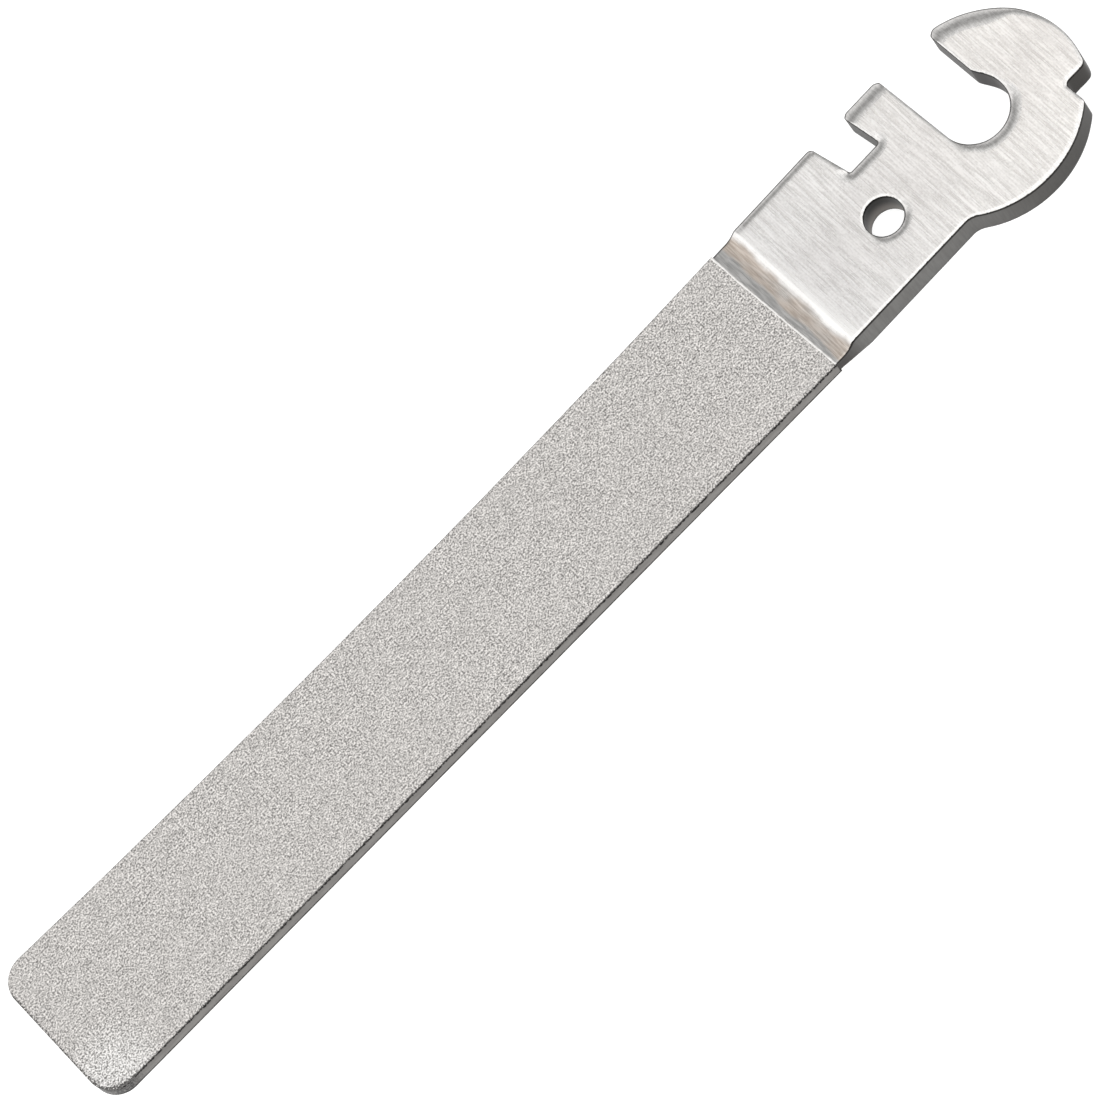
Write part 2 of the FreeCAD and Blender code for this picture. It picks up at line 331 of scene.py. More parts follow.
def sunk(points, rim, width, depth):
    """How far the rolled edge has sunk the face at each point."""
    drop = np.zeros(len(points))
    edge = EDGE_SHARE * depth
    sweep = depth - edge
    radius = (width**2 + sweep**2) / (2 * sweep)
    near = np.nonzero(nearest(points, rim)[1] < width.max())[0]
    for block in np.array_split(near, max(1, len(near) // 500)):
        away = np.hypot(points[block, 0, None] - rim[:, 0], points[block, 1, None] - rim[:, 1])
        run = np.clip(width - away, 0, None)
        rolled = radius - np.sqrt(radius**2 - run**2)
        turn = np.clip(1 - away / EDGE_BREAK, 0, 1)
        drop[block] = (rolled + edge * (1 - np.sqrt(1 - turn**2))).max(1)
    return drop


def thinned(points, taken, cell):
    """The points that are no nearer than about a cell to each other or to those taken."""
    used = {tuple(key) for key in np.floor(taken / cell).astype(int).tolist()}
    kept = []
    for point, key in zip(points, np.floor(points / cell).astype(int).tolist()):
        if tuple(key) not in used:
            used.add(tuple(key))
            kept.append(point)
    return np.array(kept).reshape(-1, 2)


def edge_rings(rim, out, width):
    """Rings of points inside the rim, which follow the rolled edge."""
    insets = [np.full(len(rim), EDGE_BREAK * step) for step in EDGE_STEPS]
    insets += [EDGE_BREAK + (width - EDGE_BREAK) * step for step in ROLL_STEPS]
    rings = []
    for inset in insets:
        ring = rim - out * inset[:, None]
        gap = nearest(ring, rim)[1]
        rings.append(ring[gap > RING_SHARE * inset - 1e-6])
    return rings


def face_grid(rim, out, width, depth):
    """A grid over a face: fine where the edge is rolled, in rows up the ramp, else coarse."""
    low, high = rim.min(0), rim.max(0)
    x, y = np.meshgrid(np.arange(low[0], high[0], GRID_STEP), np.arange(low[1], high[1], GRID_STEP))
    grid = np.stack([x.ravel(), y.ravel()], 1)
    step = (np.round((grid - low) / GRID_STEP) % COARSE_EVERY).astype(int)
    run = grid[:, 0] - RAMP_FOOT
    on_ramp = (run > RAMP_ROWS[0]) & (run < RAMP_ROWS[1])
    coarse = (step == 0).all(1) | (on_ramp & (step[:, 1] == 0))
    keep = coarse | ((run > BARE_START) & (nearest(grid, rim)[1] < width.max()))
    grid, coarse = grid[keep], coarse[keep]
    index, gap = nearest(grid, rim)
    inside = np.sum((grid - rim[index]) * out[index], 1) < -TIP_MARGIN
    keep = inside & (gap > RIM_MARGIN)
    grid, coarse = grid[keep], coarse[keep]
    return grid[(sunk(grid, rim, width, depth) > SUNK) | coarse]


def steel_side(rims, outs, width, depth):
    """One face of the blank as points and triangles, and the rim point that each came from."""
    rim = np.concatenate(rims)
    out = np.concatenate(outs)
    inner = np.concatenate(edge_rings(rim, out, width) + [face_grid(rim, out, width, depth)])
    points = np.concatenate([rim, thinned(inner, rim, POINT_GAP)])
    edges = []
    start = 0
    for loop in rims:
        edges += [(start + i, start + (i + 1) % len(loop)) for i in range(len(loop))]
        start += len(loop)
    found = delaunay_2d_cdt([Vector(p) for p in points], edges, [], 0, 1e-7)
    flat = np.array([tuple(v) for v in found[0]])
    came_from = [ids[0] if ids else -1 for ids in found[3]]
    triangles = np.array([face for face in found[2] if len(face) == 3])
    return flat, came_from, triangles[within(flat[triangles].mean(1), rims)]


def steel_rims():
    """The blank's outline and its lock hole, and the way out at each of their points."""
    rims, outs = [], []
    for number, loop in enumerate(level_cut("blank", MIDDLE)[:2]):
        rim, out = smooth_rim(turned(loop, hole=number > 0), RIM_STEP)
        if number == 0:
            covered = rim[:, 0] < RAMP_FOOT + COVERED_END
            keep = ~covered | (np.arange(len(rim)) % COVERED_EVERY == 0)
            rim, out = rim[keep], out[keep]
        rims.append(rim)
        outs.append(out)
    return rims, outs


def side_kinds(corner, drop, lower):
    """Which material each triangle of a face has."""
    normal = np.cross(corner[:, 1] - corner[:, 0], corner[:, 2] - corner[:, 0])
    level = np.abs(normal[:, 2]) / np.linalg.norm(normal, axis=1)
    on_ramp = corner[:, :, 0].mean(1) < RAMP_FOOT + RAMP_TOP
    walled = (level < STEEP) | (lower & (drop > BROKEN))
    return np.where(walled, WALL, np.where((drop > ROLLED) & ~on_ramp, ROLL, FACE)).tolist()


def wall_faces(rims, rows):
    """Quads between rows of points, all the way round each rim."""
    faces = []
    start = 0
    for loop in rims:
        for upper_row, lower_row in zip(rows, rows[1:]):
            for i in range(len(loop)):
                a, b = start + i, start + (i + 1) % len(loop)
                quad = (upper_row[a], lower_row[a], lower_row[b], upper_row[b])
                faces.append(tuple(int(corner) for corner in quad))
        start += len(loop)
    return faces


def make_steel(materials):
    rims, outs = steel_rims()
    rim, out = np.concatenate(rims), np.concatenate(outs)
    width, depth = roll_sizes(rim, out)
    small = np.full(len(rim), BACK_BREAK)

    def upper_height(flat):
        rise = face_rise(flat[:, 0], RAMP_ANGLE, RAMP_FOOT)
        return BAND_HIGH[2] + rise - sunk(flat, rim, width, depth)

    def lower_height(flat):
        rise = face_rise(flat[:, 0], BACK_RAMP_ANGLE, RAMP_FOOT + BACK_RAMP_FOOT)
        return BAND_LOW[2] - rise + sunk(flat, rim, small, small)

    sides, faces, kinds, edge_rows, fallen = [], [], [], [], []
    for lower, height, wide, deep in ((False, upper_height, width, depth),
                                      (True, lower_height, small, small)):
        flat, came_from, triangles = steel_side(rims, outs, wide, deep)
        start = sum(len(side) for side in sides)
        where = {origin: start + i for i, origin in enumerate(came_from)
                 if 0 <= origin < len(rim)}
        edge_rows.append(np.array([where[i] for i in range(len(rim))]))
        sides.append(np.column_stack([flat, height(flat)]))
        if lower:
            triangles = triangles[:, ::-1]
        faces += (triangles + start).tolist()
        corner = sides[-1][triangles]
        drop = sunk(corner[:, :, :2].mean(1), rim, wide, deep)
        kinds += side_kinds(corner, drop, lower)
        fallen.append(np.zeros(len(flat)))
    cloud = np.concatenate(sides)

    top, bottom = cloud[edge_rows[0]], cloud[edge_rows[1]]
    rows, between = [edge_rows[0]], []
    for row, share in enumerate(WALL_STEPS):
        between.append(top * (1 - share) + bottom * share)
        fallen.append(top[:, 2] - between[-1][:, 2])
        rows.append(len(cloud) + row * len(rim) + np.arange(len(rim)))
    rows.append(edge_rows[1])
    cloud = np.concatenate([cloud] + between)
    walls = wall_faces(rims, rows)
    kinds += [WALL] * len(walls)
    fallen = np.concatenate(fallen)
    fallen[edge_rows[1]] = top[:, 2] - bottom[:, 2]

    steel = make_piece("steel_blank", cloud, faces + walls, materials, kinds)
    index, gap = nearest(cloud[:, :2], rim)
    paint(steel, "fallen", fallen)
    paint(steel, "facing", out[index, 1])
    # where the painted shade line along the rim falls
    paint(steel, "brink", gap / (BRINK[0] + BRINK[1] * facing_back(out[index])))
    return steel


# ---- the grit ---------------------------------------------------------------------------

GRAIN = 0.12                 # between grains
GRAIN_RISE = 0.05
GRAIN_MIDDLE = 0.75          # of the grain's height, at the coat's own level
JITTER = 0.36                # of a grain's spacing
EDGE_FALL = 0.05             # the coat's edges fall away by this much
CORNER_TURN = 2.1            # radius of the coated tip's corners
CORNER_STEP = 3.5            # degrees
END_ROWS = (0.26, 0.2, 0.15, 0.1, 0.06, 0.03, 0)      # back from the masked end
NEAR_SIDE = (0, 0.0015, 0.004)                        # shares of the width
FAR_SIDE = (0.996, 0.9985, 1)
FADE_ALONG = 400             # the jitter fades out over one part in this of the length
FADE_ACROSS = 60             # and in this of the width


def value_noise(points, cell, seed):
    """Smooth random heights from 0 to 1, on a lattice with that cell."""
    values = np.random.default_rng(seed).random((1024, 256))
    place = (points - points.min(0)) / cell
    whole = np.floor(place).astype(int)
    part = place - whole
    i, j = whole[:, 0] % 1023, whole[:, 1] % 255
    low = values[i, j] * (1 - part[:, 0]) + values[i + 1, j] * part[:, 0]
    high = values[i, j + 1] * (1 - part[:, 0]) + values[i + 1, j + 1] * part[:, 0]
    return low * (1 - part[:, 1]) + high * part[:, 1]


def body_sides():
    """The body's outline as its two long sides, each y for x, and the ends of its slanted end."""
    rim, out = smooth_rim(turned(level_cut("front_grit", BODY_CUT)[0]), SIDE_STEP)
    low_end = rim[(rim[:, 0] - 0.5 * rim[:, 1]).argmax()]
    high_end = rim[(rim[:, 0] + 0.5 * rim[:, 1]).argmax()]
    middle = (low_end[1] + high_end[1]) / 2
    rim = rim[out[:, 0] < ON_MASKED_END]
    low = np.vstack([rim[rim[:, 1] < middle], low_end])
    high = np.vstack([rim[rim[:, 1] > middle], high_end])
    return low[low[:, 0].argsort()], high[high[:, 0].argsort()], low_end, high_end


def grit_plan():
    """Rows of grain over the body: the place of each, its shares along and across, and the
    body's width there."""
    low, high, low_end, high_end = body_sides()
    last = low_end[0] - TIP
    round_tip = CORNER_TURN * (1 - np.cos(np.radians(np.arange(0, 90, CORNER_STEP))))
    plain = np.arange(CORNER_TURN, last - 0.3, GRAIN)
    along = np.concatenate([round_tip, plain, last - np.array(END_ROWS)])
    along = along / along[-1]
    count = int(round((GRIT_HIGH[1] - GRIT_LOW[1]) / GRAIN))
    across = np.concatenate([NEAR_SIDE, np.arange(1, count) / count, FAR_SIDE])
    s, u = np.meshgrid(along, across, indexing="ij")
    jitter = chance.uniform(-JITTER, JITTER, s.shape + (2,)) * GRAIN
    fade = np.minimum(np.minimum(s, 1 - s) * FADE_ALONG, np.minimum(u, 1 - u) * FADE_ACROSS)
    inside = np.minimum(1, fade)
    end_x = low_end[0] + (high_end[0] - low_end[0]) * u
    x = TIP + (end_x - TIP) * s + jitter[..., 0] * inside
    y_low = np.interp(x, low[:, 0], low[:, 1])
    y_high = np.interp(x, high[:, 0], high[:, 1])
    y = y_low + (y_high - y_low) * u + jitter[..., 1] * inside
    return x, y, s, u, y_high - y_low


def grit_height(x, y, s, u, width, seed):
    """How far each grain stands over the coat's level, lower at the coat's edges."""
    to_edge = np.minimum(np.minimum(u, 1 - u) * width, np.minimum(s * BODY_LENGTH, 1))
    to_end = (1 - s) * BODY_LENGTH
    grain = value_noise(np.column_stack([x.ravel(), y.ravel()]), GRAIN, seed).reshape(x.shape)
    by_bead = 1 - smoothstep(to_end, 0.10, 0.24)
    height = (grain - GRAIN_MIDDLE) * GRAIN_RISE * (1 - 0.9 * by_bead) * np.clip(to_edge / 0.1, 0.2, 1)
    height -= EDGE_FALL * (1 - smoothstep(to_edge, 0, 0.08))
    return height - EDGE_FALL * (1 - smoothstep(to_end, 0, 0.06))


def grit_edge_shade(x, y, s, u, width):
    """Distance from the coat's edge as a share of its dark fringe of painted shade, which is wider
    round the tip and widest at the corner of the straight edge."""
    from_tip = s * BODY_LENGTH
    to_edge = np.minimum(np.minimum(u, 1 - u) * width, from_tip)
    from_corner = np.hypot(x - TIP, y - GRIT_LOW[1])
    reach = 0.09 + 0.14 * (1 - smoothstep(from_tip, 0.25, 0.5))
    return to_edge / (reach + 0.45 * (1 - smoothstep(from_corner, 0.8, 3.2)))


def grit_faces(rows, columns):
    """Faces of a coat: its cover, the skirt round it and its flat underside. Gives the cover's
    points round its edge as well, which the skirt repeats."""
    index = np.arange(rows * columns).reshape(rows, columns)
    a, b = index[:-1, :-1], index[1:, :-1]
    c, d = index[1:, 1:], index[:-1, 1:]
    cover = np.stack([a, b, c, d], -1).reshape(-1, 4)
    around = np.concatenate([index[:, 0], index[-1, 1:], index[-2::-1, -1], index[0, -2:0:-1]])
    under = rows * columns + np.arange(len(around))
    skirt = np.stack([around, under, np.roll(under, -1), np.roll(around, -1)], 1)
    near_side = under[:rows]
    far_side = under[rows + columns - 2:2 * rows + columns - 2][::-1]
    faces = cover.tolist() + skirt.tolist()
    kinds = [0] * len(cover) + [1] * len(skirt)
    for i in range(1, rows - 2):
        faces.append((int(near_side[i]), int(far_side[i]), int(far_side[i + 1]), int(near_side[i + 1])))
    tip_end = np.concatenate([near_side[:1], under[2 * rows + columns - 2:][::-1], far_side[:1]])
    ramp_end = under[rows - 1:rows + columns - 1]
    for row, corner, beyond in ((tip_end, near_side[1], far_side[1]),
                                (ramp_end[::-1], far_side[-2], near_side[-2])):
        faces += [(int(corner), int(a), int(b)) for a, b in zip(row, row[1:])]
        faces.append((int(corner), int(row[-1]), int(beyond)))
    kinds += [0] * (len(faces) - len(kinds))
    return faces, kinds, around


def make_grit(name, base, top, materials, seed):
    """A coat of grain between two levels. The upper coat faces up and the lower one down."""
    x, y, s, u, width = grit_plan()
    up = 1 if top > base else -1
    z = top + up * grit_height(x, y, s, u, width, seed)
    cover = np.column_stack([x.ravel(), y.ravel(), z.ravel()])
    faces, kinds, around = grit_faces(*x.shape)
    floor = cover[around].copy()
    floor[:, 2] = base
    if up < 0:
        faces = [tuple(reversed(face)) for face in faces]
    coat = make_piece(name, np.concatenate([cover, floor]), faces, materials, kinds, smooth=False)
    # where the painted shade fringe along the coat's edge falls
    edge_shade = grit_edge_shade(x, y, s, u, width)
    paint(coat, "edge_shade", np.concatenate([edge_shade.ravel(), np.zeros(len(floor))]))
    return coat


# ---- the beads ----------------------------------------------------------------------------

BEAD_RADIUS = 0.09
BEAD_RISE = 0.10
BEAD_ROOT = 0.06             # how deep the bead goes into the coat
BEAD_STEPS = 160
BEAD_WANDER = 0.05
BEAD_TREMBLE = 0.03


def tube_faces(across, along):
    """Faces of a closed tube: as many strips round it as its section has points, and two ends."""
    faces = []
    for k in range(across):
        m = (k + 1) % across
        strip = [(k * along + i, m * along + i, m * along + i + 1, k * along + i + 1)
                 for i in range(along - 1)]
        faces += strip
    faces.append(tuple(k * along for k in range(across))[::-1])
    faces.append(tuple(k * along + along - 1 for k in range(across)))
    return faces


def make_bead(name, level, up, materials):
    """The bright line where the coat stops against the mask: a low bead of nickel along it."""
    low_end, high_end = body_sides()[2:]
    share = np.linspace(0.004, 0.996, BEAD_STEPS)
    line = low_end + (high_end - low_end) * share[:, None]
    wander = ((value_noise(line, 1.3, 5) - 0.5) * BEAD_WANDER
              + (value_noise(line, 0.3, 6) - 0.5) * BEAD_TREMBLE)
    size = 1 + 0.5 * (value_noise(line, 0.7, 8) - 0.5)
    middle = line[:, 0] - BEAD_RADIUS + wander
    points = []
    for turn in np.radians(np.linspace(0, 180, 9)):
        x = middle + BEAD_RADIUS * size * math.cos(turn)
        z = level + up * BEAD_RISE * size * math.sin(turn)
        points.append(np.column_stack([x, line[:, 1], z]))
    for side in (-1, 1):
        x = middle + side * BEAD_RADIUS * size
        points.append(np.column_stack([x, line[:, 1], np.full(BEAD_STEPS, level - up * BEAD_ROOT)]))
    faces = tube_faces(len(points), BEAD_STEPS)
    if up > 0:
        faces = [tuple(reversed(face)) for face in faces]
    return make_piece(name, np.concatenate(points), faces, materials)


# ---- the nickel band ----------------------------------------------------------------------

# Section through the band: how far out from its outer face, and height from its middle as
# a share of half its height.
BAND_SECTION = [
    (-0.10, 1.0), (-0.075, 1.0), (-0.07, 0.93), (-0.07, 0.82), (-0.03, 0.72), (-0.008, 0.62),
    (0.0, 0.5), (0.0, 0.0), (0.0, -0.5), (-0.008, -0.84), (-0.03, -0.95), (-0.06, -1.0),
    (-0.10, -1.0),
]
BAND_STEP = 0.12             # between points along the band
ON_STRAIGHT_EDGE = 0.3       # points this near the body's lowest Y are on its straight edge
BAND_SKIN = -0.05            # points of the section further out than this are uneven
BAND_WAVE = 0.012


def make_band(materials):
    rim, out = smooth_rim(turned(level_cut("front_grit", BODY_CUT)[0]), BAND_STEP)
    on_straight_edge = np.abs(rim[:, 1] - GRIT_LOW[1]) < ON_STRAIGHT_EDGE
    start = int((on_straight_edge * rim[:, 0]).argmax())
    rim, out = np.roll(rim, -start, 0), np.roll(out, -start, 0)
    keep = out[:, 0] <= ON_MASKED_END
    rim, out = rim[keep], out[keep]
    half = (BAND_HIGH[2] - BAND_LOW[2]) / 2
    middle = (BAND_HIGH[2] + BAND_LOW[2]) / 2
    wave = BAND_WAVE * (value_noise(rim, 0.5, 21) - 1)
    points = []
    for offset, height in BAND_SECTION:
        shift = offset + wave * (offset > BAND_SKIN)
        flat = rim + out * shift[:, None]
        points.append(np.column_stack([flat, np.full(len(rim), middle + half * height)]))
    faces = tube_faces(len(BAND_SECTION), len(rim))
    return make_piece("nickel_edge", np.concatenate(points), faces, materials)


# ---- materials -----------------------------------------------------------------------------

# colour of the painted shade line along the rolled edges' rim
BRINK_SHADE = (0.05, 0.047, 0.045)


class Look:
    """A node material that works in millimetres."""

    def __init__(self, name):
        self.material = bpy.data.materials.new(name)
        self.material.use_nodes = True
        self.tree = self.material.node_tree
        self.shader = self.tree.nodes["Principled BSDF"]
        object_place = self.add("ShaderNodeTexCoord").outputs["Object"]
        self.place = self.mapped(object_place, scale=(1 / MM,) * 3)

    def add(self, kind, **settings):
        node = self.tree.nodes.new(kind)
        for key, value in settings.items():
            setattr(node, key, value)
        return node

    def feed(self, socket, value):
        if isinstance(value, bpy.types.NodeSocket):
            self.tree.links.new(value, socket)
        else:
            socket.default_value = value

    def mapped(self, vector, scale=(1, 1, 1), turn=0.0, move=(0, 0, 0)):
        node = self.add("ShaderNodeMapping")
        self.feed(node.inputs["Vector"], vector)
        node.inputs["Scale"].default_value = scale
        node.inputs["Rotation"].default_value = (0, 0, turn)
        node.inputs["Location"].default_value = move
        return node.outputs["Vector"]

    def noise(self, per_mm, detail=2.0, rough=0.5, turn=0.0, move=(0, 0, 0)):
        """Noise with that many features to the millimetre along each axis."""
        turned_place = self.mapped(self.place, turn=turn, move=move)
        node = self.add("ShaderNodeTexNoise")
        self.feed(node.inputs["Vector"], self.mapped(turned_place, scale=per_mm))
        node.inputs["Scale"].default_value = 1.0
        node.inputs["Detail"].default_value = detail
        node.inputs["Roughness"].default_value = rough
        return node.outputs["Fac"]

    def math(self, operation, a, b=0.0):
        node = self.add("ShaderNodeMath", operation=operation)
        self.feed(node.inputs[0], a)
        self.feed(node.inputs[1], b)
        return node.outputs[0]

    def blend(self, a, b, share):
        """Two noises added, the first with its share and the second with the rest."""
        return self.math("ADD", self.math("MULTIPLY", a, share), self.math("MULTIPLY", b, 1 - share))

    def between(self, value, low, high, at_low=0.0, at_high=1.0, smooth=True):
        """The value's place from low to high, as a number from at_low to at_high."""
        node = self.add("ShaderNodeMapRange")
        node.interpolation_type = "SMOOTHSTEP" if smooth else "LINEAR"
        self.feed(node.inputs["Value"], value)
        for socket, number in (("From Min", low), ("From Max", high),
                               ("To Min", at_low), ("To Max", at_high)):
            node.inputs[socket].default_value = number
        return node.outputs["Result"]

    def mix(self, share, a, b, blend="MIX"):
        node = self.add("ShaderNodeMix", data_type="RGBA", blend_type=blend)
        self.feed(node.inputs[0], share)
        self.feed(node.inputs[6], a if isinstance(a, bpy.types.NodeSocket) else (*a, 1))
        self.feed(node.inputs[7], b if isinstance(b, bpy.types.NodeSocket) else (*b, 1))
        return node.outputs[2]

    def axis(self, name):
        node = self.add("ShaderNodeSeparateXYZ")
        self.feed(node.inputs[0], self.place)
        return node.outputs[name]

    def away(self, centre):
        """Distance from an upright line through a point of the plan."""
        node = self.add("ShaderNodeVectorMath", operation="DISTANCE")
        self.feed(node.inputs[0], self.mapped(self.place, scale=(1, 1, 0)))
        node.inputs[1].default_value = (float(centre[0]), float(centre[1]), 0)
        return node.outputs["Value"]

    def attribute(self, name):
        return self.add("ShaderNodeAttribute", attribute_name=name).outputs["Fac"]

    def paint_brink_shade(self, colour):
        """Painted shade: the dark line along the very edge of a rolled edge, where it turns away."""
        return self.mix(self.between(self.attribute("brink"), 0.6, 1.3, 0.93, 0.0), colour, BRINK_SHADE)

    def bump(self, height, depth):
        node = self.add("ShaderNodeBump")
        self.feed(node.inputs["Height"], height)
        node.inputs["Distance"].default_value = depth * MM
        node.inputs["Strength"].default_value = 1.0
        return node.outputs["Normal"]

    def finish(self, colour, metallic, roughness, normal=None):
        self.feed(self.shader.inputs["Base Color"], colour)
        self.feed(self.shader.inputs["Metallic"], metallic)
        self.feed(self.shader.inputs["Roughness"], roughness)
        if normal is not None:
            self.feed(self.shader.inputs["Normal"], normal)
        return self.material


def ground_finish(look, streak):
    """Fine grinding streaks across the tang, a little duller along its middle, and painted light
    that makes it brighter towards the hook."""
    grain = look.noise((9.0, 6.0, 1.0), detail=0.0, move=(6, 2, 0))
    broad = look.noise((0.8, 0.3, 1.0), detail=2.0, move=(9, 4, 0))
    texture = look.blend(streak, grain, 0.75)
    bright = look.mix(look.between(texture, 0.36, 0.64, smooth=False),
                      (0.64, 0.628, 0.62), (0.875, 0.865, 0.86))
    bright = look.mix(look.between(broad, 0.35, 0.7, 0.0, 0.2), bright, (0.70, 0.685, 0.678))
    from_middle = look.math("ABSOLUTE", look.axis("Y"))
    duller = look.mix(1.0, bright, (0.95, 0.945, 0.945), "MULTIPLY")
    bright = look.mix(look.between(from_middle, 1.0, 4.5, 0.9, 0.0), bright, duller)
    # painted light: the colour brightens towards the hook
    towards_hook = look.between(look.axis("X"), float(RAMP_FOOT) + 2, float(PIVOT[0]) + 6, smooth=False)
    return look.mix(towards_hook, bright, look.mix(1.0, bright, (1.17, 1.155, 1.13), "MULTIPLY"))


def heat_tint(look):
    """Straw-coloured patches up the ramp, as heat leaves on steel, with plainer ones between."""
    streak = look.between(look.noise((7.0, 0.6, 0.0), detail=3.0, move=(1, 7, 2)), 0.35, 0.65)
    straw = look.mix(streak, (0.40, 0.345, 0.30), (0.56, 0.50, 0.45))
    plain = look.mix(streak, (0.36, 0.34, 0.322), (0.54, 0.517, 0.497))
    patch = look.noise((0.6, 0.3, 0.0), move=(2, 8, 0))
    return look.mix(look.between(patch, 0.25, 0.60), plain, straw)


def ground_steel():
    """Bright steel ground across its width, with the dull strip and the heat tint by the ramp, and a
    painted highlight just past the ramp's crest.
    """
    look = Look("ground_steel")
    fine = look.noise((8.0, 0.28, 1.0), detail=0.0, turn=0.02)
    finer = look.noise((10.0, 0.8, 1.0), detail=0.0, turn=-0.02, move=(3, 1, 0))
    streak = look.blend(fine, finer, 0.55)
    bright = ground_finish(look, streak)

    wander = look.noise((0.5, 0.45, 0.0), detail=3.0)
    x = look.math("SUBTRACT", look.axis("X"), float(RAMP_FOOT))
    x = look.math("ADD", x, look.between(wander, 0.2, 0.8, -0.22, 0.22, smooth=False))
    dull_streak = look.noise((6.0, 0.7, 0.0), detail=3.0, move=(5, 5, 5))
    strip = look.mix(look.between(dull_streak, 0.35, 0.65), (0.30, 0.298, 0.295), (0.46, 0.455, 0.45))
    colour = look.mix(look.between(x, -0.42, -0.12), strip, heat_tint(look))
    colour = look.mix(look.between(x, 0.62, 1.15), colour, bright)
    # painted highlight just past the ramp's crest, wider towards the straight edge
    to_back = look.between(look.axis("Y"), -5.0, 6.0, 0.9, 0.35)
    painted_highlight = look.math("MULTIPLY", look.between(x, 0.8, 1.2), look.between(x, 1.2, 2.6, 1.0, 0.0))
    colour = look.mix(look.math("MULTIPLY", painted_highlight, to_back), colour, (0.94, 0.935, 0.925))
    rough = look.between(streak, 0.3, 0.7, 0.26, 0.36)
    return look.finish(look.paint_brink_shade(colour), 1.0, rough, look.bump(streak, 0.006))


def rolled_steel():
    """The edge that rolled over under the punch: tumbled smooth, not ground."""
    look = Look("rolled_steel")
    mottle = look.noise((4.0, 4.0, 4.0), detail=3.0)
    drag = look.noise((9.0, 1.2, 1.2), detail=2.0)
    texture = look.blend(mottle, drag, 0.5)
    colour = look.mix(look.between(texture, 0.38, 0.62), (0.68, 0.67, 0.66), (0.84, 0.83, 0.82))
    return look.finish(look.paint_brink_shade(colour), 1.0, 0.2, look.bump(texture, 0.006))


def sheared_steel():
    """The dark, dull wall that the punch left, its dark base colour partly painted shade. Painted
    shade makes it darkest by the ramp, round the hook, along the back half and in the hole, and
    dark under the rim and at the foot; it is plainer and lighter where it faces the back."""
    look = Look("sheared_steel")
    drag = look.noise((6.0, 6.0, 0.5), detail=3.0)
    patch = look.noise((0.35, 0.35, 0.5), detail=2.0)
    grain = look.between(drag, 0.3, 0.7)
    colour = look.mix(grain, (0.128, 0.126, 0.121), (0.158, 0.156, 0.150))
    colour = look.mix(look.between(patch, 0.4, 0.7, 0, 0.35), colour, (0.105, 0.10, 0.095))
    x, y = look.axis("X"), look.axis("Y")
    # painted shade: walls darker by the ramp, round the hook and along the back half
    ramp_shade = look.between(x, float(RAMP_FOOT) - 0.3, float(RAMP_FOOT) + 2.4, 0.9, 0.0)
    colour = look.mix(ramp_shade, colour, (0.030, 0.026, 0.024))
    towards_hook = look.between(x, float(PIVOT[0]) - 11, float(PIVOT[0]) + 6)
    colour = look.mix(towards_hook, colour, (0.030, 0.027, 0.024))
    back_half_shade = look.between(y, float(PIVOT[1]) + 1.0, float(PIVOT[1]) + 2.2, 0.0, 0.85)
    colour = look.mix(back_half_shade, colour, (0.022, 0.019, 0.017))
    # walls that face the back keep a plainer, lighter colour, without the painted shade above
    plain = look.mix(grain, (0.15, 0.148, 0.143), (0.19, 0.187, 0.181))
    colour = look.mix(look.between(look.attribute("facing"), 0.0, 0.5), colour, plain)
    # painted shade in the hook's bore
    hook_bore_shade = look.between(look.away(PIVOT), 2.9, 3.2, 0.95, 0.0)
    colour = look.mix(hook_bore_shade, colour, (0.012, 0.009, 0.008))
    fallen = look.attribute("fallen")
    # painted shade in the lock hole, darkest just under its rim
    hole_shade = look.between(look.away(LOCK_HOLE), 1.65, 2.0, 0.95, 0.0)
    hole_wall_shade = look.mix(look.between(fallen, 0.6, 2.0), (0.006, 0.005, 0.004), (0.15, 0.136, 0.125))
    colour = look.mix(hole_shade, colour, hole_wall_shade)
    # painted shade just under the rim
    colour = look.mix(look.between(fallen, 0.10, 0.24, 0.93, 0.0), colour, (0.010, 0.009, 0.008))
    # painted shade at the foot of the walls, by the floor
    foot = look.between(look.axis("Z"), 0.08, 0.24, 0.85, 0.0)
    colour = look.mix(foot, colour, (0.02, 0.02, 0.02))
    return look.finish(colour, 0.85, 0.45, look.bump(drag, 0.004))


def diamond_grit():
    """Grey grain, brighter by the tip's corner, with a ragged dark fringe of painted shade at the coat's
    edge.
    """
    look = Look("diamond_grit")
    dark = (0.17, 0.164, 0.159)
    speck = look.noise((7.4, 7.4, 7.4), detail=1.0)
    clump = look.noise((1.9, 1.9, 1.9), detail=2.0, move=(2, 2, 2))
    cloud = look.noise((0.3, 0.3, 0.3), detail=2.0)
    grain = look.blend(speck, clump, 0.86)
    colour = look.mix(look.between(grain, 0.35, 0.65, smooth=False), dark, (0.90, 0.872, 0.85))
    colour = look.mix(look.between(cloud, 0.3, 0.7, 0, 0.15), colour, (0.54, 0.522, 0.506))
    near_corner = look.between(look.away((TIP + 1.5, GRIT_LOW[1] + 1.0)), 1.0, 5.0, 0.8, 0.0)
    brighter = look.mix(look.between(grain, 0.35, 0.60, smooth=False), dark, (1.0, 0.99, 0.98))
    colour = look.mix(near_corner, colour, brighter)
    # painted shade: a ragged dark line along the coat's edge
    ragged = look.noise((8.0, 8.0, 8.0), detail=2.0, move=(4, 4, 4))
    torn = look.between(ragged, 0.3, 0.7, -0.8, 0.6, smooth=False)
    edge = look.math("ADD", look.attribute("edge_shade"), torn)
    colour = look.mix(look.between(edge, 0.15, 0.65, 0.9, 0.0), colour, (0.035, 0.033, 0.031))
    return look.finish(colour, 0.5, 0.45, look.bump(speck, 0.02))


